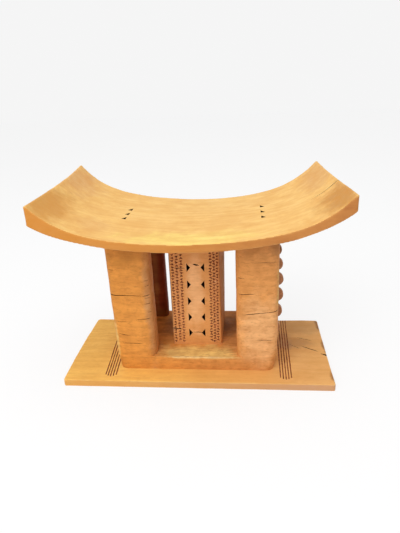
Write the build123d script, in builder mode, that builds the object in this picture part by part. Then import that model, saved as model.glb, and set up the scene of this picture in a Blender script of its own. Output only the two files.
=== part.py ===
"""Ashanti stool, carved wood: seat, four legs, pierced hollow column, side posts, plinth, base.

Millimetres: +X along the seat to the right as seen from the front, +Y to the rear, +Z up.
The origin is on the floor, under the middle of the seat.
"""
import os
from math import sqrt

from build123d import *

os.makedirs("parts", exist_ok=True)

# Base plate on the floor.
base_length = 597.0
base_depth = 275.0
base_height = 16.5
base_centre_x = 1.0
base_centre_y = -5.0
base_corner_radius = 5.0
base_edge_radius = 2.0

# Incised lines beside the plinth: a fan of five on each side, running out at the rear edge.
# The fronts of the lines lie on a shallow arch.
groove_count = 5
groove_pitch = 5.9
groove_width = 2.4
groove_cut = 1.6
groove_front_y = -126.0
groove_arch = 0.045
left_groove_x = -193.5
left_groove_splay = 4.3
right_groove_x = 196.3
right_groove_splay = -1.4

# Plinth, the low block on which the legs, posts and column stand.
plinth_left = -183.0
plinth_right = 180.0
plinth_front = -96.0
plinth_rear = 122.0
plinth_height = 32.5
plinth_corner_radius = 16.0

# Legs, upright slabs with rounded corners, their outer faces flush with the plinth.
leg_width = 92.0
front_leg_depth = 60.0
rear_leg_depth = 35.0
front_inner_radius = 19.0
rear_inner_radius = 14.0
leg_side_radius = 10.0

# Scalloped posts between the front and rear legs, one on each side.
# The tips of the scallops lie on a shallow bow, which stands out most at the bow's height.
post_front_y = -5.0
post_depth = 12.0
post_inner_x = 112.0
left_post_face = -182.0
right_post_face = 178.0
left_scallop_tip = -207.0
right_scallop_tip = 196.0
scallop_bow = 2.8e-4
scallop_bow_height = 200.0
scallop_count = 8
first_scallop_rise = 25.5
first_scallop_pitch = 43.5
scallop_pitch_step = 2.3
scallop_fullness = 0.475

# Centre column, a four-sided tube closed by the plinth and the seat.
column_left = -59.5
column_right = 56.5
column_front = -42.0
column_rear = 88.0
column_wall = 18.0
column_corner_radius = 4.0

# Pairs of triangles pierced through the front and rear walls of the column, points inward.
# Each file of them leans a little to the right.
triangle_rows = 5
triangle_pitch = 41.0
first_triangle_rise = 31.0
triangle_height = 19.0
triangle_width = 7.5
left_triangle_x = -20.6
left_triangle_lean = 0.4
right_triangle_x = 16.6
right_triangle_lean = 0.9

# Chip-carved bands up the front of the column: rows of small nicks, three wide on each side.
nick_columns = (-52.5, -43.0, -33.5, 31.0, 38.5, 46.0)
nick_width = 6.0
nick_height = 4.2
nick_pitch = 6.6
nick_cut = 1.4
first_nick_rise = 8.0
nick_rows = 40

# Seat: a dished slab, a little twisted, its ends cut off upright and left thicker than the rest.
seat_left_end = -301.0
seat_right_end = 305.0
seat_depth = 334.0
seat_thickness = 18.0
right_end_skew = 23.0
end_swell = 1.25e-3
left_swell_x = -180.0
right_swell_x = 225.0
seat_tip_radius = 4.0
seat_end_radius = 14.0
seat_corner_radius = 6.0
seat_arris_radius = 2.5

# The top of the seat along its front and rear edges: the height in the middle, then what each
# power of the distance adds at one reach to the right.
edge_reach = 300.0
edge_powers = (0, 1, 2, 3, 6)
front_edge = (343.0, 3.6, 42.1, -1.7, 44.5)
rear_edge = (343.4, -2.2, 53.3, 12.8, 55.5)

# The grid of points through which the top and the underside of the seat run.
seat_margin = 13.0
long_steps = 12
cross_steps = 4

# Chip-cut triangles in the top of the seat, three across each side.
left_chip_x = -151.0
left_chip_y = 11.0
left_chip_pitch = 32.0
right_chip_x = 147.0
right_chip_y = 6.0
right_chip_pitch = 39.0
chip_width = 8.0
chip_length = 14.0
chip_cut = 4.0
chip_taper = 22.0
chips_per_side = 3

plinth_top = base_height + plinth_height
cut_height = 600.0


def edge_height(edge, x):
    """Height of the seat's front or rear edge at a distance along it."""
    share = x / edge_reach
    return sum(term * share**power for term, power in zip(edge, edge_powers))


def edge_slope(edge, x):
    """Slope of the seat's front or rear edge at a distance along it."""
    share = x / edge_reach
    rise = sum(term * power * share ** max(power - 1, 0) for term, power in zip(edge, edge_powers))
    return rise / edge_reach


def rear_share(y):
    """How far the seat's shape has gone over from its front edge's to its rear edge's."""
    return (0.5 + y / seat_depth) ** 3


def seat_top(x, y):
    """Height of the top of the seat at a point in plan."""
    front = edge_height(front_edge, x)
    return front + (edge_height(rear_edge, x) - front) * rear_share(y)


def seat_slope(x, y):
    """Slope of the top of the seat along its length at a point in plan."""
    front = edge_slope(front_edge, x)
    return front + (edge_slope(rear_edge, x) - front) * rear_share(y)


def seat_underside(x, y):
    """Height of the underside: one thickness below the top, square to the curve, and more at the ends."""
    swell = max(left_swell_x - x, 0, x - right_swell_x) ** 2 * end_swell
    return seat_top(x, y) - seat_thickness * sqrt(1 + seat_slope(x, y) ** 2) - swell


def space_above(height):
    """Everything above one of the seat's curved surfaces, which goes past the seat on all sides."""
    half_length = seat_right_end + seat_margin
    half_depth = seat_depth / 2 + seat_margin
    rows = []
    for row in range(-cross_steps, cross_steps + 1):
        y = row * half_depth / cross_steps
        stations = [step * half_length / long_steps for step in range(-long_steps, long_steps + 1)]
        rows.append([Vector(x, y, height(x, y)) for x in stations])
    surface = Face.make_surface_from_array_of_points(rows)
    return Solid.extrude(surface, Vector(0, 0, cut_height))


def facing_front(y):
    """Upright plane at a distance back, seen from the front: X to the right, Z up."""
    return Plane(origin=(0, y, 0), x_dir=(1, 0, 0), z_dir=(0, -1, 0))


def nearest_corner(sketch, x, y):
    """The corner of a plan that lies nearest to a point."""
    return sketch.vertices().sort_by_distance((x, y, plinth_top))[0]


# What stands under the seat is cut off along its underside.
above_underside = space_above(seat_underside)

# Base plate with its incised lines.
with BuildPart() as base_plate:
    with BuildSketch():
        with Locations((base_centre_x, base_centre_y)):
            RectangleRounded(base_length, base_depth, base_corner_radius)
    extrude(amount=base_height)
    fillet(base_plate.faces().sort_by(Axis.Z)[-1].edges(), base_edge_radius)
    groove_span = (groove_count - 1) * groove_pitch
    for centre_x, splay in ((left_groove_x, left_groove_splay), (right_groove_x, right_groove_splay)):
        for index in range(groove_count):
            offset_x = index * groove_pitch - groove_span / 2
            front = (centre_x + offset_x, groove_front_y + groove_arch * offset_x**2, base_height)
            across = Vector(1, 0, 0).rotate(Axis.Z, splay)
            with BuildSketch(Plane(origin=front, x_dir=across, z_dir=across.rotate(Axis.Z, 90))):
                with BuildLine():
                    Polyline(
                        (-groove_width / 2, 0),
                        (groove_width / 2, 0),
                        (0, groove_cut),
                        close=True,
                    )
                make_face()
            extrude(amount=base_depth, mode=Mode.SUBTRACT)
base_plate.part.label = "base_plate"
export_step(base_plate.part, "parts/base_plate.step")

# Plinth.
with BuildPart() as plinth:
    with BuildSketch(Plane.XY.offset(base_height)):
        with BuildLine():
            Polyline(
                (plinth_left, plinth_front),
                (plinth_right, plinth_front),
                (plinth_right, plinth_rear),
                (plinth_left, plinth_rear),
                close=True,
            )
        make_face()
    extrude(amount=plinth_height)
    fillet(plinth.edges().filter_by(Axis.Z), plinth_corner_radius)
plinth.part.label = "plinth"
export_step(plinth.part, "parts/plinth.step")


def leg(name, outer_x, inner_x, outer_y, inner_y, inner_radius):
    """A leg on a corner of the plinth, cut off along the underside of the seat."""
    with BuildPart() as post:
        with BuildSketch(Plane.XY.offset(plinth_top)) as plan:
            with BuildLine():
                Polyline(
                    (outer_x, outer_y),
                    (inner_x, outer_y),
                    (inner_x, inner_y),
                    (outer_x, inner_y),
                    close=True,
                )
            make_face()
            fillet(nearest_corner(plan, outer_x, outer_y), plinth_corner_radius)
            fillet(nearest_corner(plan, outer_x, inner_y), leg_side_radius)
            fillet(nearest_corner(plan, inner_x, outer_y), inner_radius)
            fillet(nearest_corner(plan, inner_x, inner_y), inner_radius)
        extrude(amount=cut_height - plinth_top)
        add(above_underside, mode=Mode.SUBTRACT)
    post.part.label = name
    export_step(post.part, f"parts/{name}.step")


left_inner_x = plinth_left + leg_width
right_inner_x = plinth_right - leg_width
front_inner_y = plinth_front + front_leg_depth
rear_inner_y = plinth_rear - rear_leg_depth

leg("front_left_leg", plinth_left, left_inner_x, plinth_front, front_inner_y, front_inner_radius)
leg("front_right_leg", plinth_right, right_inner_x, plinth_front, front_inner_y, front_inner_radius)
leg("rear_left_leg", plinth_left, left_inner_x, plinth_rear, rear_inner_y, rear_inner_radius)
leg("rear_right_leg", plinth_right, right_inner_x, plinth_rear, rear_inner_y, rear_inner_radius)


def scalloped_post(name, side, face_x, tip_x):
    """An upright slab with half-round scallops up its outer edge, larger towards the foot."""
    with BuildPart() as post:
        with BuildSketch(facing_front(post_front_y)):
            with BuildLine():
                Polyline(
                    (side * post_inner_x, plinth_top),
                    (face_x, plinth_top),
                    (face_x, cut_height),
                    (side * post_inner_x, cut_height),
                    close=True,
                )
            make_face()
            height = plinth_top + first_scallop_rise
            pitch = first_scallop_pitch
            for _ in range(scallop_count):
                radius = scallop_fullness * pitch
                inset = radius + scallop_bow * (height - scallop_bow_height) ** 2
                with Locations((tip_x - side * inset, height)):
                    Circle(radius)
                height += pitch
                pitch -= scallop_pitch_step
        extrude(amount=-post_depth)
        add(above_underside, mode=Mode.SUBTRACT)
    post.part.label = name
    export_step(post.part, f"parts/{name}.step")


scalloped_post("left_scalloped_post", -1, left_post_face, left_scallop_tip)
scalloped_post("right_scalloped_post", 1, right_post_face, right_scallop_tip)

# Centre column.
with BuildPart() as centre_column:
    column_width = column_right - column_left
    column_depth = column_rear - column_front
    with BuildSketch(Plane.XY.offset(plinth_top)):
        with Locations(((column_left + column_right) / 2, (column_front + column_rear) / 2)):
            RectangleRounded(column_width, column_depth, column_corner_radius)
            Rectangle(column_width - 2 * column_wall, column_depth - 2 * column_wall, mode=Mode.SUBTRACT)
    extrude(amount=cut_height - plinth_top)
    add(above_underside, mode=Mode.SUBTRACT)
    with BuildSketch(facing_front(column_front)):
        for row in range(triangle_rows):
            middle = plinth_top + first_triangle_rise + row * triangle_pitch
            for side, foot_x, lean in (
                (-1, left_triangle_x, left_triangle_lean),
                (1, right_triangle_x, right_triangle_lean),
            ):
                upright_x = foot_x + row * lean
                Polygon(
                    (upright_x, middle - triangle_height / 2),
                    (upright_x, middle + triangle_height / 2),
                    (upright_x - side * triangle_width, middle),
                    align=None,
                )
    extrude(amount=-column_depth, mode=Mode.SUBTRACT)
    with BuildSketch(facing_front(column_front)):
        for nick_x in nick_columns:
            for row in range(nick_rows):
                nick_foot = plinth_top + first_nick_rise + row * nick_pitch
                Polygon(
                    (nick_x - nick_width / 2, nick_foot),
                    (nick_x + nick_width / 2, nick_foot),
                    (nick_x, nick_foot + nick_height),
                    align=None,
                )
    extrude(amount=-nick_cut, mode=Mode.SUBTRACT)
centre_column.part.label = "centre_column"
export_step(centre_column.part, "parts/centre_column.step")

# Plan of the seat and what lies outside its rounded corners. The right end is a little askew:
# it reaches the full length where the rounding of its front corner begins.
half_depth = seat_depth / 2
corner_reach = right_end_skew * seat_corner_radius / seat_depth
with BuildSketch() as seat_plan:
    with BuildLine():
        Polyline(
            (seat_left_end, -half_depth),
            (seat_right_end + corner_reach, -half_depth),
            (seat_right_end + corner_reach - right_end_skew, half_depth),
            (seat_left_end, half_depth),
            close=True,
        )
    make_face()
with BuildSketch() as rounded_plan:
    add(seat_plan.sketch)
    fillet(rounded_plan.vertices(), seat_corner_radius)
with BuildSketch() as outside_corners:
    Rectangle(2 * (seat_right_end + seat_corner_radius), seat_depth + seat_corner_radius)
    add(rounded_plan.sketch, mode=Mode.SUBTRACT)



def long_edges(end):
    """The lower and the upper edge of an end of the seat."""
    return end.edges().filter_by(lambda edge: edge.bounding_box().size.Y > half_depth).sort_by(Axis.Z)


# Seat, with the chip-cut triangles in its top.
with BuildPart() as seat:
    extrude(seat_plan.sketch, amount=cut_height)
    add(above_underside, mode=Mode.INTERSECT)
    add(space_above(seat_top), mode=Mode.SUBTRACT)
    ends = seat.faces().sort_by(Axis.X)
    for end in (ends[0], ends[-1]):
        low, high = long_edges(end)
        fillet(high, seat_tip_radius)
        fillet(seat.edges().sort_by_distance(low.center())[0], seat_end_radius)
    fillet(seat.faces().filter_by(Axis.Y).edges(), seat_arris_radius)
    extrude(outside_corners.sketch, amount=cut_height, mode=Mode.SUBTRACT)
    for side, chip_x, middle_y, pitch in (
        (-1, left_chip_x, left_chip_y, left_chip_pitch),
        (1, right_chip_x, right_chip_y, right_chip_pitch),
    ):
        for index in range(chips_per_side):
            chip_y = middle_y + (index - (chips_per_side - 1) / 2) * pitch
            slope = seat_slope(chip_x, chip_y)
            middle = (chip_x, chip_y, seat_top(chip_x, chip_y))
            with BuildSketch(Plane(origin=middle, x_dir=(1, 0, slope), z_dir=(-slope, 0, 1))):
                Polygon(
                    (-chip_width / 2, -chip_length / 2),
                    (chip_width / 2, -chip_length / 2),
                    (-side * chip_width / 2, chip_length / 2),
                    align=None,
                )
            extrude(amount=-chip_cut, taper=chip_taper, mode=Mode.SUBTRACT)
seat.part.label = "seat"
export_step(seat.part, "parts/seat.step")
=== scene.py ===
"""Ashanti stool, carved from one block of wood, dressed over its packed frame.

Laid out as an add-on and run as a script. Metres: +X along the seat to the right as seen
from the front, +Y to the rear, +Z up.
"""
import math
import random
from contextlib import contextmanager

import bmesh
import bpy
from bpy.props import FloatProperty, FloatVectorProperty, IntProperty, PointerProperty
from mathutils import Matrix, Vector


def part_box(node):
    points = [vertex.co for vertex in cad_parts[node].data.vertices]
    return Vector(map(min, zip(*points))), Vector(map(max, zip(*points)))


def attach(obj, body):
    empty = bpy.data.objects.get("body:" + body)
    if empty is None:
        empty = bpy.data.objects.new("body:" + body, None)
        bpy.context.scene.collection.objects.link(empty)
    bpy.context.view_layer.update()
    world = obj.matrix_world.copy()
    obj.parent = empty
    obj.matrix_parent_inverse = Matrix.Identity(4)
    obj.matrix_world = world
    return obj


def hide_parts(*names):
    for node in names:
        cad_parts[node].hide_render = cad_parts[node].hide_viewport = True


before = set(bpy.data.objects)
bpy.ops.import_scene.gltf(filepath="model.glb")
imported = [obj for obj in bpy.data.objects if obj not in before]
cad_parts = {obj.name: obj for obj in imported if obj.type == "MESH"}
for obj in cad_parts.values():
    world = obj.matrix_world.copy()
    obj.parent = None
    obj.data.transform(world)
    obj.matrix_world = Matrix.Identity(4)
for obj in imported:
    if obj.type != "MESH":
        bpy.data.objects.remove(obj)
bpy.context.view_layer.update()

bl_info = {
    "name": "Ashanti Stool",
    "version": (1, 0, 0),
    "blender": (4, 5, 0),
    "location": "View3D > Sidebar > Stool",
    "description": "Carves an Ashanti stool from wood, member by member",
    "category": "Add Mesh",
}

BODY = "root"

BASE_LOW, BASE_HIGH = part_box("base_plate")
PLINTH_LOW, PLINTH_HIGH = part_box("plinth")
COLUMN_LOW, COLUMN_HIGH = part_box("centre_column")
SEAT_LOW, SEAT_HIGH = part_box("seat")
FLOOR_LEVEL = 0.0
PLINTH_TOP = PLINTH_HIGH.z

X_AXIS, Y_AXIS, Z_AXIS = 0, 1, 2
# Two places closer together than this are one place. It is also the step in which a slope is taken.
NEAR = 0.001
# Height that parts the upper corners of an upright from its lower ones.
HALF_WAY_UP = 0.2
# How far a member runs on past its joint before it is sawn off there.
SPARE = 0.012
# The same for the underside of the thin base plate.
PLATE_SPARE = 0.004
# How far an upright is let into the seat, and the plinth and the posts into what they stand on.
LET_INTO_SEAT = 0.007
LET_INTO_BASE = 0.004
LET_INTO_PLINTH = 0.003


# ---------------------------------------------------------------- settings


class StoolSeatSettings(bpy.types.PropertyGroup):
    """Shape of the dished seat."""

    thickness: FloatProperty(
        name="Thickness", description="Thickness of the seat, square to its curve",
        default=0.018, min=0.01, max=0.04, unit="LENGTH")
    front_edge: FloatVectorProperty(
        name="Front edge",
        description="Height of the front edge in the middle, then its lean, bow, curl and upsweep",
        default=(0.3430, 0.0036, 0.0421, -0.0017, 0.0445), size=5, unit="LENGTH")
    rear_edge: FloatVectorProperty(
        name="Rear edge",
        description="Height of the rear edge in the middle, then its lean, bow, curl and upsweep",
        default=(0.3434, -0.0022, 0.0533, 0.0128, 0.0555), size=5, unit="LENGTH")
    skew: FloatProperty(
        name="Skew", description="How much shorter the seat is at its rear right corner",
        default=0.023, min=0.0, max=0.05, unit="LENGTH")
    bulge: FloatProperty(
        name="Bulge", description="How far the middle of the right end stands out of its line",
        default=0.0036, min=0.0, max=0.01, unit="LENGTH")
    swell: FloatProperty(
        name="End swell",
        description="Growth in thickness towards the ends with the square of the distance",
        default=1.25, min=0.0, max=5.0)
    end_round: FloatVectorProperty(
        name="End rounding", description="Radius under the left and the right end",
        default=(0.006, 0.014), size=2, unit="LENGTH")
    tip_round: FloatVectorProperty(
        name="Tip rounding", description="Radius on top of the left and the right end",
        default=(0.0045, 0.0034), size=2, unit="LENGTH")
    corner_round: FloatProperty(
        name="Corner rounding", description="Radius of the four corners seen from above",
        default=0.005, min=0.001, max=0.03, unit="LENGTH")
    chip_width: FloatProperty(
        name="Chip width", description="Width of the triangles cut into the seat",
        default=0.0092, min=0.002, max=0.02, unit="LENGTH")
    chip_length: FloatProperty(
        name="Chip length", description="Length of the triangles cut into the seat",
        default=0.016, min=0.002, max=0.03, unit="LENGTH")


class StoolLegSettings(bpy.types.PropertyGroup):
    """Shape of the four legs and of the scalloped posts."""

    outer_round: FloatProperty(
        name="Outer rounding", description="Radius of the legs' corners above the plinth's corners",
        default=0.017, min=0.002, max=0.03, unit="LENGTH")
    front_inner_round: FloatProperty(
        name="Front inner rounding", description="Radius of the front legs' inner corners",
        default=0.019, min=0.002, max=0.03, unit="LENGTH")
    rear_inner_round: FloatProperty(
        name="Rear inner rounding", description="Radius of the rear legs' inner corners",
        default=0.014, min=0.002, max=0.017, unit="LENGTH")
    side_round: FloatProperty(
        name="Side rounding", description="Radius of the legs' corners towards the posts",
        default=0.010, min=0.002, max=0.017, unit="LENGTH")
    left_lean: FloatProperty(
        name="Left lean", description="How far the front left leg leans out at its top",
        default=0.0020, min=0.0, max=0.01, unit="LENGTH")
    scallop_count: IntProperty(
        name="Scallops", description="Half rounds up the outer edge of each post",
        default=8, min=1, max=12)
    first_rise: FloatProperty(
        name="First scallop", description="Height of the lowest scallop above the plinth",
        default=0.0255, min=0.01, max=0.1, unit="LENGTH")
    first_pitch: FloatProperty(
        name="First pitch", description="Distance from the lowest scallop to the next",
        default=0.0435, min=0.02, max=0.08, unit="LENGTH")
    pitch_step: FloatProperty(
        name="Pitch step", description="How much closer each scallop is than the one below it",
        default=0.0023, min=0.0, max=0.004, unit="LENGTH")
    fullness: FloatProperty(
        name="Fullness", description="Radius of a scallop as a share of its pitch",
        default=0.435, min=0.3, max=0.5, subtype="FACTOR")
    tip_bow: FloatProperty(
        name="Tip bow", description="How far the tips draw in with the square of the height",
        default=0.60, min=0.0, max=1.0)
    bow_height: FloatProperty(
        name="Bow height", description="Height at which the tips stand out most",
        default=0.170, min=0.05, max=0.3, unit="LENGTH")


class StoolColumnSettings(bpy.types.PropertyGroup):
    """Shape and carving of the hollow centre column."""

    flare: FloatProperty(
        name="Flare", description="How much wider the column is at its top, on the right",
        default=0.0045, min=0.0, max=0.02, unit="LENGTH")
    front_draw: FloatVectorProperty(
        name="Front draw",
        description="How far the front corners draw in, at the top left, the top right and the foot right",
        default=(0.0020, 0.0035, 0.0023), size=3, unit="LENGTH")
    nick_lean: FloatProperty(
        name="Nick lean", description="How far the top of a chip-carved band stands right of its foot",
        default=0.0035, min=0.0, max=0.01, unit="LENGTH")
    wall: FloatProperty(
        name="Wall", description="Thickness of the column's walls",
        default=0.018, min=0.008, max=0.03, unit="LENGTH")
    corner_round: FloatProperty(
        name="Corner rounding", description="Radius of the column's upright corners",
        default=0.004, min=0.001, max=0.01, unit="LENGTH")
    triangle_rows: IntProperty(
        name="Triangle pairs", description="Pairs of triangles pierced through the walls",
        default=5, min=1, max=7)
    triangle_pitch: FloatProperty(
        name="Triangle pitch", description="Distance between the pairs",
        default=0.041, min=0.02, max=0.06, unit="LENGTH")
    triangle_rise: FloatProperty(
        name="First pair", description="Height of the lowest pair above the plinth",
        default=0.031, min=0.01, max=0.06, unit="LENGTH")
    triangle_height: FloatProperty(
        name="Triangle height", description="Height of a pierced triangle",
        default=0.0205, min=0.005, max=0.03, unit="LENGTH")
    triangle_width: FloatProperty(
        name="Triangle width", description="Width of a pierced triangle",
        default=0.0082, min=0.003, max=0.02, unit="LENGTH")
    triangle_places: FloatVectorProperty(
        name="Triangle places", description="X of the lowest left and right triangles' upright sides",
        default=(-0.0206, 0.0166), size=2, unit="LENGTH")
    triangle_leans: FloatVectorProperty(
        name="Triangle leans", description="How far each triangle stands right of the one below it",
        default=(0.0004, 0.0009), size=2, unit="LENGTH")
    nick_pitch: FloatProperty(
        name="Nick pitch", description="Distance between the nicks in the chip-carved bands",
        default=0.0072, min=0.003, max=0.02, unit="LENGTH")
    nick_size: FloatProperty(
        name="Nick size", description="Distance from a nick's middle to its corners",
        default=0.0069, min=0.001, max=0.01, unit="LENGTH")
    nick_depth: FloatProperty(
        name="Nick depth", description="Depth of a nick below the face of the column",
        default=0.0036, min=0.001, max=0.01, unit="LENGTH")
    nick_rows: IntProperty(
        name="Nick rows", description="Nicks one above the other in a band",
        default=37, min=1, max=60)


class StoolBaseSettings(bpy.types.PropertyGroup):
    """Shape of the plinth, the base plate and its incised lines."""

    plinth_round: FloatProperty(
        name="Plinth rounding", description="Radius of the plinth's corners",
        default=0.019, min=0.002, max=0.03, unit="LENGTH")
    left_draw: FloatProperty(
        name="Left draw", description="How far the plinth's front left corner draws in at its foot",
        default=0.005, min=0.0, max=0.008, unit="LENGTH")
    right_draw: FloatProperty(
        name="Right draw", description="How far the plinth's front right corner draws in at its foot",
        default=0.008, min=0.0, max=0.008, unit="LENGTH")
    plate_round: FloatProperty(
        name="Plate rounding", description="Radius of the base plate's corners",
        default=0.005, min=0.002, max=0.03, unit="LENGTH")
    plate_bow: FloatVectorProperty(
        name="Plate bow", description="How far the middle of the left and the right edge stands out",
        default=(0.0032, -0.0010), size=2, unit="LENGTH")
    line_count: IntProperty(
        name="Incised lines", description="Lines cut on each side of the plinth",
        default=5, min=1, max=8)
    line_pitch: FloatProperty(
        name="Line pitch", description="Distance between the incised lines",
        default=0.0059, min=0.003, max=0.01, unit="LENGTH")
    line_width: FloatProperty(
        name="Line width", description="Width of an incised line",
        default=0.0030, min=0.001, max=0.004, unit="LENGTH")


class StoolFinishSettings(bpy.types.PropertyGroup):
    """Colours of the wood."""

    pale: FloatVectorProperty(
        name="Pale wood", description="Wood polished by use, on top of the seat",
        default=(0.89, 0.57, 0.180), size=3, min=0, max=1, subtype="COLOR")
    honey: FloatVectorProperty(
        name="Honey wood", description="Warm wood at the left end of the block",
        default=(0.84, 0.34, 0.055), size=3, min=0, max=1, subtype="COLOR")
    rose: FloatVectorProperty(
        name="Rose wood", description="Pinker wood at the right end of the block",
        default=(0.82, 0.37, 0.115), size=3, min=0, max=1, subtype="COLOR")
    tawny: FloatVectorProperty(
        name="Tawny grain", description="Darker grain and dirt in the pores",
        default=(0.40, 0.14, 0.030), size=3, min=0, max=1, subtype="COLOR")
    umber: FloatVectorProperty(
        name="Umber", description="Grime in corners and old cuts",
        default=(0.13, 0.040, 0.012), size=3, min=0, max=1, subtype="COLOR")
    # Painted shade: the dark colour that the rear legs take where they face into the gap between the legs.
    shade_maroon: FloatVectorProperty(
        name="Maroon", description="Darkened wood at the back, out of reach of polishing",
        default=(0.26, 0.050, 0.014), size=3, min=0, max=1, subtype="COLOR")


class StoolStageSettings(bpy.types.PropertyGroup):
    """Camera, floor and lights."""

    camera_place: FloatVectorProperty(
        name="Camera place", description="Where the camera stands",
        default=(0.10598, -0.94853, 0.63085), size=3, subtype="TRANSLATION", unit="LENGTH")
    camera_yaw: FloatProperty(
        name="Yaw", description="Turn of the camera to the right of straight ahead",
        default=-0.1043, subtype="ANGLE", unit="ROTATION")
    camera_pitch: FloatProperty(
        name="Pitch", description="Tilt of the camera below the horizon",
        default=0.3990, subtype="ANGLE", unit="ROTATION")
    camera_roll: FloatProperty(
        name="Roll", description="Tilt of the camera to one side",
        default=-0.0456, subtype="ANGLE", unit="ROTATION")
    camera_lens: FloatProperty(
        name="Lens", description="Focal length in millimetres for a 36 mm high sensor",
        default=30.74, min=10, max=200)
    floor_tone: FloatVectorProperty(
        name="Floor", description="Colour of the floor",
        default=(0.93, 0.93, 0.94), size=3, min=0, max=1, subtype="COLOR")
    key_power: FloatProperty(
        name="Key light", description="Power of the large light above and in front",
        default=54.0, min=0, max=500, subtype="POWER", unit="POWER")
    fill_power: FloatProperty(
        name="Fill light", description="Power of the light overhead",
        default=25.0, min=0, max=500, subtype="POWER", unit="POWER")
    sky_strength: FloatProperty(
        name="Sky", description="Strength of the even light from all round",
        default=0.53, min=0, max=2)


# ---------------------------------------------------------------- modelling by hand


def leave_all():
    """Nothing selected, in object mode."""
    if bpy.context.object is not None and bpy.context.object.mode != "OBJECT":
        bpy.ops.object.mode_set(mode="OBJECT")
    bpy.ops.object.select_all(action="DESELECT")


def take(obj):
    """Makes an object the only one in hand."""
    leave_all()
    obj.select_set(True)
    bpy.context.view_layer.objects.active = obj
    return obj


@contextmanager
def editing(obj):
    """Edit mode on one object."""
    take(obj)
    bpy.ops.object.mode_set(mode="EDIT")
    yield
    bpy.ops.object.mode_set(mode="OBJECT")


def pick(kind, test):
    """Selects the vertices, edges or faces that pass a test, in edit mode. Returns how many do."""
    bpy.ops.mesh.select_mode(type=kind)
    bpy.ops.mesh.select_all(action="DESELECT")
    mesh = bpy.context.object.data
    cage = bmesh.from_edit_mesh(mesh)
    found = 0
    for item in {"VERT": cage.verts, "EDGE": cage.edges, "FACE": cage.faces}[kind]:
        if test(item):
            item.select_set(True)
            found += 1
    cage.select_flush_mode()
    bmesh.update_edit_mesh(mesh)
    return found


def stands_at(vertex, x, y):
    """Whether a vertex is at a place in plan."""
    return (vertex.co.xy - Vector((x, y))).length < NEAR


def arch(share):
    """How high a flat arch stands at a share of its span, 1 in the middle."""
    return 4 * share * (1 - share)


def along(edge, axis):
    """Whether an edge runs along an axis."""
    run = edge.verts[1].co - edge.verts[0].co
    return abs(run[axis]) > 0.98 * run.length


def middle(edge):
    """The middle of an edge."""
    return (edge.verts[0].co + edge.verts[1].co) / 2


def corners_of(low, high):
    """The four corners of a box in plan."""
    return [(x, y) for x in (low.x, high.x) for y in (low.y, high.y)]


def block(name, low, high, finish):
    """A box between two corners, with its place in its mesh."""
    low, high = Vector(low), Vector(high)
    leave_all()
    bpy.ops.mesh.primitive_cube_add(size=1, location=(low + high) / 2, scale=high - low)
    bpy.ops.object.transform_apply()
    bpy.context.object.name = name
    bpy.context.object.data.materials.append(bpy.data.materials[finish])
    return bpy.context.object


def round_upright(obj, corners, segments=8):
    """Rounds upright edges. Each corner is (x, y, radius)."""
    with editing(obj):
        for x, y, radius in corners:
            spot = Vector((x, y))
            pick("EDGE", lambda edge: along(edge, Z_AXIS) and (middle(edge).xy - spot).length < NEAR)
            bpy.ops.mesh.bevel(offset=radius, segments=segments, affect="EDGES")


def divide(obj, axis, pieces):
    """Cuts all edges along an axis into a number of pieces."""
    with editing(obj):
        pick("EDGE", lambda edge: along(edge, axis))
        bpy.ops.mesh.subdivide(number_cuts=pieces - 1)


def finish_step(obj, kind, **values):
    """Adds a modifier, sets it and applies it."""
    take(obj)
    step = obj.modifiers.new(kind.title(), kind)
    for name, value in values.items():
        setattr(step, name, value)
    bpy.ops.object.modifier_apply(modifier=step.name)


def cloud_texture(name, size, depth):
    """A soft, uneven field that the wood's surface is lowered by."""
    field = bpy.data.textures.get(name) or bpy.data.textures.new(name, "CLOUDS")
    field.noise_scale = size
    field.noise_depth = depth
    return field


def carve(obj, cell=0.0022, smoothing=3, adze=0.0016, scuff=0.0005):
    """Turns a sharp block into hand-carved wood: soft edges and a slightly uneven surface.

    adze and scuff are the depths of the adze's facets and of small knocks.
    """
    finish_step(obj, "REMESH", mode="VOXEL", voxel_size=cell, use_smooth_shade=True)
    finish_step(obj, "SMOOTH", factor=0.5, iterations=smoothing)
    for field, strength in ((cloud_texture("adze_facets", 0.045, 1), adze),
                            (cloud_texture("scuffs", 0.009, 2), scuff)):
        finish_step(obj, "DISPLACE", texture=field, strength=strength, mid_level=1.0,
                    texture_coords="LOCAL")


def cut_off(obj, height, keep_above=True):
    """Saws an object off level at a height and closes the cut."""
    with editing(obj):
        bpy.ops.mesh.select_all(action="SELECT")
        bpy.ops.mesh.bisect(
            plane_co=(0, 0, height), plane_no=(0, 0, 1), use_fill=True,
            clear_inner=keep_above, clear_outer=not keep_above)


def join(parts, name):
    """Several objects as one."""
    leave_all()
    for part in parts:
        part.select_set(True)
    bpy.context.view_layer.objects.active = parts[0]
    bpy.ops.object.join()
    parts[0].name = name
    return parts[0]


def cut(obj, cutter, crossing=False):
    """Cuts a cutter's shape out of an object and gives the walls of the cut the cutter's finish.

    crossing is for a cutter whose parts run through each other.
    """
    finish_step(
        obj, "BOOLEAN", operation="DIFFERENCE", solver="EXACT", object=cutter,
        use_self=crossing, material_mode="TRANSFER")
    bpy.data.objects.remove(cutter)


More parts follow.
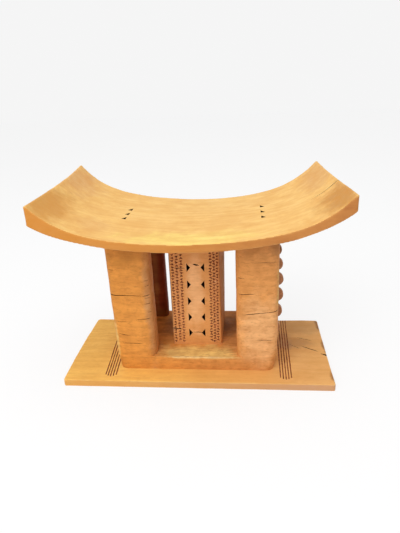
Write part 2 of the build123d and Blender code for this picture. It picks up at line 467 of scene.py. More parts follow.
def wedge(name, corners, low, high, axis, finish):
    """A prism with a triangular section between two levels along an axis."""
    leave_all()
    bpy.ops.mesh.primitive_cylinder_add(vertices=3, radius=1, depth=1)
    obj = bpy.context.object
    obj.name = name
    obj.data.materials.append(bpy.data.materials[finish])
    with editing(obj):
        cage = bmesh.from_edit_mesh(obj.data)
        turned = sorted(cage.verts, key=lambda vertex: math.atan2(vertex.co.y, vertex.co.x))
        foot = [vertex for vertex in turned if vertex.co.z < 0]
        rim = [vertex for vertex in turned if vertex.co.z > 0]
        for ring, level in ((foot, low), (rim, high)):
            for vertex, (u, w) in zip(ring, corners):
                place = [u, w]
                place.insert(axis, level)
                vertex.co = place
        bpy.ops.mesh.select_all(action="SELECT")
        bpy.ops.mesh.normals_make_consistent(inside=False)
        bmesh.update_edit_mesh(obj.data)
    return obj


# Distance between a crack's stations, and the measure of its wander from one to the next.
CRACK_STEP = 0.006
CRACK_WANDER = 0.001


def crack(name, start, end, width, depth, into, seed, open_start):
    """A thin cutter for a crack along the grain, widest in the middle or at an open start.

    into is the axis along which the crack goes in, Y_AXIS in a front face and Z_AXIS in a top.
    """
    across = Y_AXIS + Z_AXIS - into
    draw = random.Random(seed)
    stations = max(4, int(abs(end[0] - start[0]) / CRACK_STEP))
    low, high = Vector(start), Vector(end)
    low[into], high[into] = -depth, depth
    low[across], high[across] = -width / 2, width / 2
    low.x, high.x = min(start[0], end[0]), max(start[0], end[0])
    blade = block(name, low, high, "deep_cut_shade")
    divide(blade, X_AXIS, stations)
    with editing(blade):
        for index in range(stations + 1):
            share = index / stations
            x = start[0] + (end[0] - start[0]) * share
            pick("VERT", lambda vertex: abs(vertex.co.x - x) < NEAR / 2)
            fade = (1 - share) ** 0.5 if open_start else math.sin(math.pi * share) ** 0.6
            size = [1.0, 1.0, 1.0]
            size[across] = max(0.08, fade * draw.uniform(0.75, 1.1))
            size[into] = max(0.3, fade)
            bpy.ops.transform.resize(value=size, center_override=(x, 0, 0))
            shift = Vector(start).lerp(Vector(end), share)
            shift.x = 0
            shift[across] += draw.uniform(-0.35, 0.35) * CRACK_WANDER
            bpy.ops.transform.translate(value=shift)
    return blade


def split_front(obj, cracks, low, high, depth, open_edges=False):
    """Cuts cracks into a front face between two corners. Each is (x, z) to (x, z), with its width.

    open_edges is for cracks that are open where they start outside the face.
    """
    for seed, (start, end, width) in enumerate(cracks):
        open_start = open_edges and not low.x <= start[0] <= high.x
        cut(obj, crack("split", (start[0], low.y, start[1]), (end[0], low.y, end[1]),
                       width, depth, Y_AXIS, seed, open_start))


def dress(obj, node):
    """Puts a finished piece in the place of its CAD node."""
    take(obj)
    bpy.ops.object.shade_smooth_by_angle(angle=math.radians(32))
    obj.name = node + "_carved"
    obj.data.name = obj.name
    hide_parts(node)
    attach(obj, BODY)


# ---------------------------------------------------------------- the seat's curve


# The distance at which the seat's edge terms count in full, and where its ends begin to thicken.
EDGE_REACH = 0.300
LEFT_SWELL, RIGHT_SWELL = -0.180, 0.225
# The powers of the distance that an edge's terms go with: height, lean, bow, curl and upsweep.
EDGE_POWERS = (0, 1, 2, 3, 6)


def edge_height(terms, x):
    """Height of the seat's front or rear edge at a distance along it."""
    share = x / EDGE_REACH
    return sum(term * share**power for term, power in zip(terms, EDGE_POWERS))


def depth_share(y):
    """Where a line along the seat lies, from 0 at its front edge to 1 at its rear edge."""
    return (y - SEAT_LOW.y) / (SEAT_HIGH.y - SEAT_LOW.y)


def rear_share(y):
    """How far the seat's shape has gone over from its front edge's to its rear edge's."""
    return depth_share(y) ** 3


def seat_top(x, y):
    """Height of the seat's top at a point in plan."""
    seat = bpy.context.scene.stool_seat
    front = edge_height(seat.front_edge, x)
    return front + (edge_height(seat.rear_edge, x) - front) * rear_share(y)


def seat_slope(x, y):
    """Slope of the seat's top along its length at a point in plan."""
    return (seat_top(x + NEAR, y) - seat_top(x - NEAR, y)) / (2 * NEAR)


def seat_underside(x, y):
    """Height of the seat's underside at a point in plan."""
    seat = bpy.context.scene.stool_seat
    swell = max(LEFT_SWELL - x, 0, x - RIGHT_SWELL) ** 2 * seat.swell
    return seat_top(x, y) - seat.thickness * math.sqrt(1 + seat_slope(x, y) ** 2) - swell


def tuck_under_seat(obj):
    """Slopes the top of a block, corner by corner, to lie just inside the seat's underside."""
    low, high = Vector(obj.bound_box[0]), Vector(obj.bound_box[6])
    with editing(obj):
        for x, y in corners_of(low, high):
            pick("VERT", lambda vertex: stands_at(vertex, x, y) and vertex.co.z > high.z - NEAR)
            shift = seat_underside(x, y) + LET_INTO_SEAT - high.z
            bpy.ops.transform.translate(value=(0, 0, shift))


# ---------------------------------------------------------------- finishes


def wire(tree, start, end):
    """Links two sockets."""
    tree.links.new(start, end)


def feed(tree, socket, value):
    """Links a socket to another one, or sets it to a number, vector or colour."""
    if hasattr(value, "links"):
        wire(tree, value, socket)
    else:
        socket.default_value = value


def add(tree, kind, **values):
    """A node, with its settings, or the default values of its inputs where the name isn't a setting."""
    item = tree.nodes.new(kind)
    for name, value in values.items():
        if hasattr(item, name):
            setattr(item, name, value)
        else:
            feed(tree, item.inputs[name.replace("_", " ")], value)
    return item


def sum_of(tree, operation, first, second, clamp=False):
    """A Math node of two values or sockets."""
    item = add(tree, "ShaderNodeMath", operation=operation, use_clamp=clamp)
    feed(tree, item.inputs[0], first)
    feed(tree, item.inputs[1], second)
    return item.outputs[0]


def ramp(tree, value, low, high):
    """Maps low..high of a value to 0..1, smoothly."""
    item = add(tree, "ShaderNodeMapRange", interpolation_type="SMOOTHSTEP",
               Value=value, From_Min=low, From_Max=high)
    return item.outputs["Result"]


def blend(tree, share, first, second):
    """Mixes two colours, each a colour or a socket."""
    item = add(tree, "ShaderNodeMix", data_type="RGBA")
    feed(tree, item.inputs[0], share)
    for socket, value in ((item.inputs[6], first), (item.inputs[7], second)):
        feed(tree, socket, value if hasattr(value, "links") else (*value, 1))
    return item.outputs[2]


def between(tree, operation, first, second):
    """A Vector Math node of two vectors or sockets."""
    item = add(tree, "ShaderNodeVectorMath", operation=operation)
    feed(tree, item.inputs[0], first)
    feed(tree, item.inputs[1], second)
    return item.outputs[0]


def stretched(tree, place, share):
    """A place whose X counts for less, so that a pattern runs out along the grain."""
    return add(tree, "ShaderNodeMapping", vector_type="POINT", Vector=place, Scale=(share, 1, 1)).outputs[0]


def cloud(tree, place, scale, detail, roughness=0.5):
    """A noise pattern."""
    item = add(tree, "ShaderNodeTexNoise", Vector=place, Scale=scale, Detail=detail, Roughness=roughness)
    return item.outputs["Fac"]


def object_place(tree):
    """The place on the object, in metres."""
    return add(tree, "ShaderNodeTexCoord").outputs["Object"]


def new_group(name, inputs, outputs):
    """An empty shader group with its sockets, and its input and output nodes."""
    group = bpy.data.node_groups.new(name, "ShaderNodeTree")
    for label, kind, default in inputs:
        socket = group.interface.new_socket(name=label, in_out="INPUT", socket_type=kind)
        socket.default_value = default
    for label in outputs:
        group.interface.new_socket(name=label, in_out="OUTPUT", socket_type="NodeSocketFloat")
    return group, group.nodes.new("NodeGroupInput"), group.nodes.new("NodeGroupOutput")


def make_grain_group():
    """Growth rings, fine fibres and cloudy mottling along the block's grain, which runs along X."""
    group, ins, outs = new_group(
        "Wood Grain",
        [("Ring Scale", "NodeSocketFloat", 95.0), ("Wander", "NodeSocketFloat", 0.05),
         ("Mottle Scale", "NodeSocketFloat", 16.0)],
        ["Rings", "Fibre", "Mottle", "Flecks"])
    place = object_place(group)
    drift = add(group, "ShaderNodeTexNoise", Vector=place, Scale=4.5, Detail=1.0)
    centred = between(group, "SUBTRACT", drift.outputs["Color"], (0.5, 0.5, 0.5))
    scaled = add(group, "ShaderNodeVectorMath", operation="SCALE")
    wire(group, centred, scaled.inputs[0])
    wire(group, ins.outputs["Wander"], scaled.inputs["Scale"])
    bent = between(group, "ADD", place, scaled.outputs[0])
    rings = cloud(group, stretched(group, bent, 0.07), ins.outputs["Ring Scale"], 3.0, 0.55)
    fibres = cloud(group, stretched(group, bent, 0.045), 620.0, 2.0, 0.6)
    mottle = cloud(group, place, ins.outputs["Mottle Scale"], 4.0, 0.6)
    flecks = cloud(group, stretched(group, place, 0.35), 190.0, 3.0, 0.65)
    for name, pattern, low, high in (("Rings", rings, 0.32, 0.68), ("Fibre", fibres, 0.3, 0.7),
                                     ("Mottle", mottle, 0.34, 0.66), ("Flecks", flecks, 0.50, 0.66)):
        wire(group, ramp(group, pattern, low, high), outs.inputs[name])
    return group


def make_wear_group():
    """Edges rubbed bright and hollows filled with grime, from how sharply the surface turns."""
    group, ins, outs = new_group(
        "Edge Wear", [("Break-up Scale", "NodeSocketFloat", 60.0)], ["Edge", "Hollow"])
    turn = add(group, "ShaderNodeNewGeometry").outputs["Pointiness"]
    broken = cloud(group, object_place(group), ins.outputs["Break-up Scale"], 3.0)
    edge = sum_of(group, "MULTIPLY", ramp(group, turn, 0.515, 0.60), ramp(group, broken, 0.3, 0.62))
    wire(group, edge, outs.inputs["Edge"])
    wire(group, ramp(group, turn, 0.49, 0.40), outs.inputs["Hollow"])
    return group


def make_patch_group():
    """A soft, uneven patch at a place on the object: a stain, a worn area, painted shade or a painted
    highlight.
    """
    group, ins, outs = new_group(
        "Patch",
        [("Centre", "NodeSocketVector", (0, 0, 0)), ("Reach", "NodeSocketVector", (0.05, 0.05, 0.05)),
         ("Strength", "NodeSocketFloat", 1.0)],
        ["Mask"])
    place = object_place(group)
    off = between(group, "SUBTRACT", place, ins.outputs["Centre"])
    away = add(group, "ShaderNodeVectorMath", operation="LENGTH")
    wire(group, between(group, "DIVIDE", off, ins.outputs["Reach"]), away.inputs[0])
    ragged = cloud(group, place, 34.0, 4.0, 0.6)
    shift = sum_of(group, "MULTIPLY", sum_of(group, "SUBTRACT", ragged, 0.5), 1.3)
    reach = sum_of(group, "ADD", away.outputs["Value"], shift)
    near = sum_of(group, "SUBTRACT", 1.0, ramp(group, reach, 0.35, 1.1), clamp=True)
    wire(group, sum_of(group, "MULTIPLY", near, ins.outputs["Strength"]), outs.inputs["Mask"])
    return group


def new_material(name):
    """A material, its nodes and its shader."""
    material = bpy.data.materials.new(name)
    material.use_nodes = True
    return material, material.node_tree, material.node_tree.nodes["Principled BSDF"]


def raise_surface(tree, shader, height, strength, distance):
    """Gives a shader the relief of a height."""
    bump = add(tree, "ShaderNodeBump", Height=height, Strength=strength, Distance=distance)
    wire(tree, bump.outputs["Normal"], shader.inputs["Normal"])


# From where to where the wood's colour goes over from that of the left end to that of the right.
TINT_RUN = (-0.26, 0.26)
# How far a face looks up where it leaves the colour of a side, and where it has that of the top. The darker
# sides and the paler top are mostly painted shade and light, and partly wear on the top.
TOP_LEAN = (0.35, 0.62)
# How much of the worn colour the edges take, and how much grime the hollows.
WORN_SHARE = 0.7
GRIME_SHARE = 0.8
# What the rings and the mottling add to the roughness, and how far below its setting it starts.
RING_ROUGHNESS = 0.14
MOTTLE_ROUGHNESS = 0.10
ROUGHNESS_MARGIN = 0.1
# Gloss of the wood and of the dirt in an old cut, and how rough that dirt is.
WOOD_SPECULAR = 0.16
DIRT_SPECULAR = 0.1
DIRT_ROUGHNESS = 0.85
# Depth of the grain's relief on a surface, and in an old cut.
GRAIN_DEPTH = 0.0005
CUT_GRAIN_DEPTH = 0.0004


def ground_colour(tree, patch_group, light, side_tint_and_shade, patches):
    """The wood's colour without its grain, as wood() describes it."""
    split = add(tree, "ShaderNodeSeparateXYZ", Vector=object_place(tree))
    from_left = ramp(tree, split.outputs["X"], *TINT_RUN)
    colour = blend(tree, from_left, *light)
    for centre, reach, tint, strength in patches:
        patch = add(tree, "ShaderNodeGroup", node_tree=patch_group,
                    Centre=centre, Reach=reach, Strength=strength)
        colour = blend(tree, patch.outputs["Mask"], colour, tint)
    if side_tint_and_shade is None:
        return colour
    # Faces that don't look up take the side colour: painted shade.
    normal = add(tree, "ShaderNodeNewGeometry").outputs["Normal"]
    facing = add(tree, "ShaderNodeSeparateXYZ", Vector=normal)
    shaded_side_colour = blend(tree, from_left, *side_tint_and_shade)
    return blend(tree, ramp(tree, facing.outputs["Z"], *TOP_LEAN), shaded_side_colour, colour)


def wood(name, groups, light, grain_tint, patches=(), worn=None, rough=0.5, side_tint_and_shade=None,
         rings=0.30, mottle=0.35, fibre=0.14, blotch=16.0, flecks=0.0):
    """A carved wood finish.

    light is a pair of colours, from the left end of the block to the right, and grain_tint the
    colour of its grain. The pair for the faces that don't look up paints them darker, as shade,
    and worn is the colour of rubbed edges. Each patch is (centre, reach, colour, strength): a
    stain, a worn area, painted shade or a painted highlight.
    """
    material, tree, shader = new_material(name)
    grain_group, wear_group, patch_group = groups
    grain = add(tree, "ShaderNodeGroup", node_tree=grain_group, Mottle_Scale=blotch)
    wear = add(tree, "ShaderNodeGroup", node_tree=wear_group)

    colour = ground_colour(tree, patch_group, light, side_tint_and_shade, patches)
    for mask, share in (("Mottle", mottle), ("Rings", rings), ("Fibre", fibre), ("Flecks", flecks)):
        colour = blend(tree, sum_of(tree, "MULTIPLY", grain.outputs[mask], share), colour, grain_tint)
    if worn is not None:
        colour = blend(tree, sum_of(tree, "MULTIPLY", wear.outputs["Edge"], WORN_SHARE), colour, worn)
    grime = sum_of(tree, "MULTIPLY", wear.outputs["Hollow"], GRIME_SHARE)
    colour = blend(tree, grime, colour, bpy.context.scene.stool_finish.umber)
    wire(tree, colour, shader.inputs["Base Color"])

    from_rings = sum_of(tree, "MULTIPLY", grain.outputs["Rings"], RING_ROUGHNESS)
    from_mottle = sum_of(tree, "MULTIPLY", grain.outputs["Mottle"], MOTTLE_ROUGHNESS)
    added = sum_of(tree, "ADD", from_rings, from_mottle)
    wire(tree, sum_of(tree, "ADD", added, rough - ROUGHNESS_MARGIN), shader.inputs["Roughness"])
    shader.inputs["Specular IOR Level"].default_value = WOOD_SPECULAR

    relief = sum_of(tree, "MULTIPLY", grain.outputs["Fibre"], 0.5)
    relief = sum_of(tree, "ADD", relief, grain.outputs["Rings"])
    raise_surface(tree, shader, relief, 0.3, GRAIN_DEPTH)
    return material


def old_cut(name, groups, light, dark):
    """The inside of a cut or crack in a dark mottled colour: near black in the deep cuts, cracks, chips and
    the hollow, where it is painted shade, and a darker brown in the shallow nicks and lines.
    """
    material, tree, shader = new_material(name)
    grain = add(tree, "ShaderNodeGroup", node_tree=groups[0], Mottle_Scale=140.0)
    wire(tree, blend(tree, grain.outputs["Mottle"], light, dark), shader.inputs["Base Color"])
    raise_surface(tree, shader, grain.outputs["Mottle"], 0.4, CUT_GRAIN_DEPTH)
    shader.inputs["Roughness"].default_value = DIRT_ROUGHNESS
    shader.inputs["Specular IOR Level"].default_value = DIRT_SPECULAR
    return material


class StoolMakeFinishes(bpy.types.Operator):
    """Makes the wood finishes"""

    bl_idname = "stool.make_finishes"
    bl_label = "Wood Finishes"

    def execute(self, context):
        finish = context.scene.stool_finish
        groups = (make_grain_group(), make_wear_group(), make_patch_group())
        honey, rose, pale = tuple(finish.honey), tuple(finish.rose), tuple(finish.pale)
        tawny, shade_maroon = tuple(finish.tawny), tuple(finish.shade_maroon)
        # Near-black painted shade for the insides of deep cuts, cracks, chips and the hollow column.
        old_cut("deep_cut_shade", groups, (0.040, 0.016, 0.008), (0.012, 0.005, 0.003))
        old_cut("nick_wood", groups, (0.46, 0.165, 0.065), (0.20, 0.062, 0.028))
        # The seat: darker towards both ends and at the right front corner, and a paler strip along the
        # front of the top that is a painted highlight.
        wood("seat_wood", groups, (pale, pale), (0.66, 0.29, 0.075),
             patches=(
                 ((-0.270, 0.10, 0.43), (0.060, 0.10, 0.09), (0.72, 0.41, 0.165), 0.7),
                 ((-0.285, -0.10, 0.41), (0.055, 0.11, 0.08), (0.60, 0.29, 0.050), 0.8),
                 ((-0.19, -0.10, 0.37), (0.05, 0.05, 0.05), (0.72, 0.39, 0.13), 0.5),
                 ((0.270, 0.09, 0.42), (0.050, 0.10, 0.08), (0.66, 0.36, 0.13), 0.6),
                 ((0.280, -0.110, 0.42), (0.068, 0.100, 0.06), (0.54, 0.25, 0.040), 0.95),
                 ((0.0, -0.14, 0.345), (0.17, 0.06, 0.02), (0.93, 0.74, 0.20), 0.8)),
             worn=(0.90, 0.62, 0.24), rough=0.5,
             side_tint_and_shade=((0.62, 0.235, 0.030), (0.44, 0.16, 0.042)),
             rings=0.26, mottle=0.34, flecks=0.14)
        # The legs' patches, shared with the plinth: painted shade on the front left leg's inner rounding,
        # the seat's painted shadow on the tops of both front legs, and a painted highlight down the right
        # leg's right edge. There is also a brown stain at the right leg's top corner, a paler lower right
        # leg and a rubbed left corner.
        leg_stains_and_shade = (
            ((-0.094, -0.07, 0.20), (0.018, 0.06, 0.24), (0.52, 0.31, 0.16), 0.6),
            ((-0.13, -0.09, 0.335), (0.07, 0.06, 0.090), (0.50, 0.21, 0.030), 0.65),
            ((0.168, -0.09, 0.325), (0.020, 0.05, 0.050), (0.34, 0.16, 0.06), 0.8),
            ((0.130, -0.09, 0.335), (0.06, 0.05, 0.075), (0.48, 0.21, 0.06), 0.6),
            ((0.140, -0.09, 0.110), (0.060, 0.05, 0.110), (0.96, 0.53, 0.23), 0.8),
            ((0.181, -0.09, 0.215), (0.008, 0.05, 0.080), (0.80, 0.56, 0.16), 0.7),
            ((-0.178, -0.09, 0.085), (0.006, 0.03, 0.060), (0.92, 0.66, 0.22), 0.7))
        # The plinth's top: painted shade under the middle and the rear, painted light over its front, and a
        # bright line on its front arris that is both wear and a painted highlight.
        plinth_shade_and_light = (
            ((0.0, 0.050, 0.049), (0.140, 0.075, 0.010), (0.20, 0.085, 0.012), 0.9),
            ((0.0, -0.078, 0.049), (0.115, 0.045, 0.006), (1.0, 0.72, 0.24), 1.0),
            ((0.0, -0.096, 0.049), (0.098, 0.005, 0.004), (1.0, 0.78, 0.36), 1.0))
        for name, stains_and_shade in (("leg_wood", leg_stains_and_shade), ("plinth_wood", leg_stains_and_shade + plinth_shade_and_light)):
            wood(name, groups, (honey, rose), tawny, patches=stains_and_shade,
                 rough=0.56, rings=0.26, mottle=0.28, fibre=0.10, blotch=42.0, flecks=0.36)
        # The column: paler down the middle of its front and darker towards its corners, the seat's painted
        # shadow across the top of the front, and darker strips on its right side towards the rear and on
        # its left side.
        wood("column_wood", groups, (rose, rose), (0.50, 0.19, 0.05),
             patches=(
                 ((-0.002, -0.045, 0.185), (0.026, 0.02, 0.120), (1.0, 0.56, 0.25), 0.9),
                 ((-0.041, -0.045, 0.185), (0.014, 0.02, 0.200), (0.76, 0.32, 0.115), 0.75),
                 ((0.042, -0.045, 0.185), (0.012, 0.02, 0.200), (0.68, 0.28, 0.100), 0.75),
                 ((0.060, 0.030, 0.20), (0.004, 0.050, 0.30), (0.16, 0.09, 0.055), 0.9),
                 ((0.0, -0.045, 0.335), (0.090, 0.02, 0.050), (0.54, 0.23, 0.05), 0.75),
                 ((-0.058, -0.03, 0.20), (0.004, 0.02, 0.30), (0.30, 0.17, 0.10), 0.8)),
             worn=(0.90, 0.52, 0.26), rough=0.6, rings=0.15, mottle=0.22, blotch=36.0, flecks=0.16)
        # The rear legs: their dark ground colour is painted shade where they face into the gap between the
        # legs. The rear left leg has a browner inner edge and foot, and the backs, out of the gap, take the
        # wood's own colour.
        wood("rear_shaded_wood", groups, (shade_maroon, shade_maroon), (0.09, 0.016, 0.006),
             patches=(
                 ((-0.118, 0.06, 0.20), (0.013, 0.06, 0.26), (0.44, 0.19, 0.050), 0.8),
                 ((-0.10, 0.06, 0.060), (0.060, 0.06, 0.020), (0.26, 0.11, 0.016), 0.8),
                 ((0.0, 0.132, 0.20), (0.50, 0.032, 0.80), (0.74, 0.33, 0.075), 0.95)),
             worn=(0.36, 0.13, 0.04), rough=0.6)
        # The posts: the seat's painted shade on the upper scallops, and the right post's darker colour is
        # painted shade too.
        wood("post_wood", groups, (honey, (0.62, 0.34, 0.20)), tawny,
             patches=(
                 ((0.175, 0.0, 0.345), (0.03, 0.04, 0.130), (0.13, 0.060, 0.02), 0.9),
                 ((-0.175, 0.0, 0.335), (0.03, 0.04, 0.060), (0.40, 0.16, 0.03), 0.6)),
             worn=(0.62, 0.36, 0.20), rough=0.6, flecks=0.15)
        # The base: darker towards its right end and around the right fan of lines, which is painted shade
        # of the leg and the seat. Three dark marks sit at its right end.
        wood("base_wood", groups, ((1.0, 0.60, 0.135), (0.86, 0.47, 0.16)), (0.64, 0.28, 0.065),
             patches=(
                 ((0.240, 0.02, 0.016), (0.045, 0.03, 0.02), (0.48, 0.24, 0.08), 0.7),
                 ((0.250, 0.10, 0.016), (0.070, 0.05, 0.02), (0.60, 0.34, 0.13), 0.7),
                 ((0.202, 0.03, 0.016), (0.022, 0.05, 0.02), (0.36, 0.21, 0.12), 0.6),
                 ((0.299, 0.105, 0.014), (0.010, 0.030, 0.02), (0.20, 0.08, 0.03), 0.95),
                 ((0.299, 0.010, 0.014), (0.009, 0.035, 0.02), (0.20, 0.08, 0.03), 0.95),
                 ((0.299, -0.110, 0.014), (0.009, 0.030, 0.02), (0.24, 0.10, 0.03), 0.95)),
             worn=(0.98, 0.72, 0.30), rough=0.5,
             side_tint_and_shade=((0.78, 0.41, 0.105), (0.62, 0.35, 0.19)),
             flecks=0.20, mottle=0.24, rings=0.26)
        return {"FINISHED"}


# ---------------------------------------------------------------- the members


class StoolMakeBase(bpy.types.Operator):
    """Carves the base plate with its incised lines"""

    bl_idname = "stool.make_base"
    bl_label = "Base Plate"

    # Cracks in the top: start and end in plan, width, depth, seed, and whether the start is open.
    cracks = (
        ((0.300, -0.033), (0.284, -0.025), 0.0075, 0.014, 3, True),
        ((0.280, -0.017), (0.243, 0.007), 0.0028, 0.005, 5, False),
        ((0.272, 0.030), (0.236, 0.046), 0.0014, 0.003, 7, False),
        ((0.214, 0.014), (0.240, -0.004), 0.0012, 0.003, 9, False),
    )
    # The two fans of incised lines: X of the middle line's front end, and the turn of the lines.
    fans = ((-0.1935, math.radians(4.3)), (0.1963, math.radians(-1.4)))
    # Y of the middle line's front end, how fast the others start further back, and the lines' depth
    # from the top to their middle.
    fan_front = -0.126
    fan_arch = 45.0
    line_depth = 0.0006

    def execute(self, context):
        base = context.scene.stool_base
        foot = Vector((BASE_LOW.x, BASE_LOW.y, FLOOR_LEVEL - PLATE_SPARE))
        plate = block("base_plate_carved", foot, BASE_HIGH, "base_wood")
        self.bow_edges(plate, base)
        round_upright(plate, [(x, y, base.plate_round) for x, y in corners_of(BASE_LOW, BASE_HIGH)],
                      segments=4)
        carve(plate, cell=0.0024, smoothing=2, adze=0.0010)
        cut_off(plate, FLOOR_LEVEL)
        cut(plate, self.incised_lines(base))
        top = BASE_HIGH.z
        for start, end, width, depth, seed, open_start in self.cracks:
            cut(plate, crack("split", (*start, top), (*end, top), width, depth, Z_AXIS, seed, open_start))
        dress(plate, "base_plate")
        return {"FINISHED"}

    def bow_edges(self, plate, base):
        """Bows the plate's left and right edges out or in, most in the middle."""
        pieces = 8
        left_bow, right_bow = base.plate_bow
        divide(plate, Y_AXIS, pieces)
        with editing(plate):
            for x, bow in ((BASE_LOW.x, -left_bow), (BASE_HIGH.x, right_bow)):
                for piece in range(1, pieces):
                    share = piece / pieces
                    y = BASE_LOW.y + share * (BASE_HIGH.y - BASE_LOW.y)
                    pick("VERT", lambda vertex: stands_at(vertex, x, y))
                    bpy.ops.transform.translate(value=(bow * arch(share), 0, 0))

    def incised_lines(self, base):
        """The cutter for the fans of lines beside the plinth, which run out at the rear edge."""
        span = (base.line_count - 1) * base.line_pitch
        side = base.line_width / math.sqrt(2)
        lines = []
        for centre, turn in self.fans:
            for index in range(base.line_count):
                offset = index * base.line_pitch - span / 2
                front = Vector((centre + offset, self.fan_front + self.fan_arch * offset**2,
                                BASE_HIGH.z - self.line_depth))
                length = (BASE_HIGH.y - front.y) + SPARE
                line = block("line", (-side / 2, 0, -side / 2), (side / 2, length, side / 2), "nick_wood")
                line.matrix_world = (
                    Matrix.Translation(front) @ Matrix.Rotation(turn, 4, "Z")
                    @ Matrix.Rotation(math.pi / 4, 4, "Y"))
                take(line)
                bpy.ops.object.transform_apply()
                lines.append(line)
        return join(lines, "incised_lines")


class StoolMakePlinth(bpy.types.Operator):
    """Carves the plinth under the legs"""

    bl_idname = "stool.make_plinth"
    bl_label = "Plinth"

    def execute(self, context):
        base = context.scene.stool_base
        low = Vector((PLINTH_LOW.x, PLINTH_LOW.y, PLINTH_LOW.z - LET_INTO_BASE))
        high = Vector((PLINTH_HIGH.x, PLINTH_HIGH.y, PLINTH_TOP + SPARE))
        plinth = block("plinth_carved", low, high, "plinth_wood")
        drawn_in = {low.x: base.left_draw, high.x: -base.right_draw}
        with editing(plinth):
            for x, shift in drawn_in.items():
                pick("VERT", lambda vertex: stands_at(vertex, x, low.y) and vertex.co.z < high.z - NEAR)
                bpy.ops.transform.translate(value=(shift, 0, 0))
        corners = [(x + (drawn_in[x] / 2 if y == low.y else 0), y, base.plinth_round)
                   for x, y in corners_of(low, high)]
        round_upright(plinth, corners)
        carve(plinth, cell=0.0024)
        cut_off(plinth, PLINTH_TOP, keep_above=False)
        dress(plinth, "plinth")
        return {"FINISHED"}


class StoolMakeLegs(bpy.types.Operator):
    """Carves the four legs"""

    bl_idname = "stool.make_legs"
    bl_label = "Legs"

    # Cracks in the front faces, from (x, z) to (x, z), with their width.
    cracks = {
        "front_left_leg": (
            ((-0.1850, 0.2035), (-0.1080, 0.2010), 0.0020),
            ((-0.1130, 0.2008), (-0.0860, 0.2012), 0.0012),
            ((-0.1040, 0.2231), (-0.0850, 0.2243), 0.0010),
            ((-0.1080, 0.1816), (-0.0880, 0.1816), 0.0011),
            ((-0.1290, 0.1434), (-0.0920, 0.1461), 0.0012),
            ((-0.1710, 0.1076), (-0.1460, 0.1027), 0.0012),
            ((-0.1650, 0.0843), (-0.1190, 0.0822), 0.0012),
            ((-0.1780, 0.2625), (-0.1640, 0.2613), 0.0010),
            ((-0.1740, 0.1381), (-0.1470, 0.1383), 0.0008),
            ((-0.1850, 0.2460), (-0.1770, 0.2450), 0.0042),
            ((-0.1850, 0.2400), (-0.1790, 0.2395), 0.0026),
            ((-0.1050, 0.2355), (-0.0870, 0.2360), 0.0007),
            ((-0.1060, 0.1950), (-0.0890, 0.1955), 0.0007),
            ((-0.1020, 0.1600), (-0.0880, 0.1603), 0.0007),
        ),
        "front_right_leg": (
            ((0.0900, 0.2045), (0.1290, 0.2057), 0.0014),
            ((0.1830, 0.1652), (0.1250, 0.1592), 0.0018),
            ((0.1450, 0.1612), (0.1030, 0.1560), 0.0016),
            ((0.1310, 0.0945), (0.1680, 0.0949), 0.0012),
            ((0.1280, 0.2765), (0.1760, 0.2762), 0.0008),
            ((0.0900, 0.2412), (0.1080, 0.2411), 0.0010),
        ),
    }

    def execute(self, context):
        for node in ("front_left_leg", "front_right_leg", "rear_left_leg", "rear_right_leg"):
            leg = self.upright(node, context.scene.stool_legs)
            carve(leg)
            cut_off(leg, PLINTH_TOP)
            split_front(leg, self.cracks.get(node, ()), *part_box(node), depth=0.009, open_edges=True)
            dress(leg, node)
        return {"FINISHED"}

    def upright(self, node, legs):
        """A leg's block, sloped to the seat's underside, with its corners rounded."""
        low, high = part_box(node)
        front = "front" in node
        outer_x, inner_x = (low.x, high.x) if "left" in node else (high.x, low.x)
        outer_y, inner_y = (low.y, high.y) if front else (high.y, low.y)
        inner_round = legs.front_inner_round if front else legs.rear_inner_round
        leg = block(node + "_carved", (low.x, low.y, PLINTH_TOP - SPARE), high,
                    "leg_wood" if front else "rear_shaded_wood")
        tuck_under_seat(leg)
        if node == "front_left_leg":
            with editing(leg):
                pick("VERT", lambda vertex: vertex.co.z > HALF_WAY_UP and vertex.co.x < low.x + NEAR)
                bpy.ops.transform.translate(value=(-legs.left_lean, 0, 0))
            outer_x -= legs.left_lean / 2
        round_upright(leg, [
            (outer_x, outer_y, legs.outer_round), (outer_x, inner_y, legs.side_round),
            (inner_x, outer_y, inner_round), (inner_x, inner_y, inner_round)])
        return leg


class StoolMakePosts(bpy.types.Operator):
    """Carves the scalloped posts between the legs"""

    bl_idname = "stool.make_posts"
    bl_label = "Scalloped Posts"

    # How far the left and the right post's slab stays behind the plinth's side.
    set_back = (0.001, 0.002)

    def execute(self, context):
        left, right = self.set_back
        faces = {
            "left_scalloped_post": (-1, PLINTH_LOW.x + left),
            "right_scalloped_post": (1, PLINTH_HIGH.x - right),
        }
        for node, (side, face) in faces.items():
            low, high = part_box(node)
            tip, inner = (low.x, high.x) if side < 0 else (high.x, low.x)
            slab = block(node + "_carved", (min(inner, face), low.y, PLINTH_TOP - LET_INTO_PLINTH),
                         (max(inner, face), high.y, high.z), "post_wood")
            tuck_under_seat(slab)
            rounds = self.scallops(context.scene.stool_legs, side, tip, low.y, high.y)
            post = join([slab, *rounds], slab.name)
            carve(post, cell=0.0016, smoothing=2, adze=0.0006, scuff=0.0003)
            dress(post, node)
        return {"FINISHED"}

    def scallops(self, legs, side, tip, front_y, rear_y):
        """The half rounds up a post's outer edge, smaller and closer together towards the top."""
        height, pitch = PLINTH_TOP + legs.first_rise, legs.first_pitch
        rounds = []
        for _ in range(legs.scallop_count):
            radius = legs.fullness * pitch
            inset = radius + legs.tip_bow * (height - legs.bow_height) ** 2
            leave_all()
            bpy.ops.mesh.primitive_cylinder_add(
                vertices=40, radius=radius, depth=rear_y - front_y,
                location=(tip - side * inset, (front_y + rear_y) / 2, height),
                rotation=(math.pi / 2, 0, 0))
            bpy.ops.object.transform_apply()
            rounds.append(bpy.context.object)
            height += pitch
            pitch -= legs.pitch_step
        return rounds


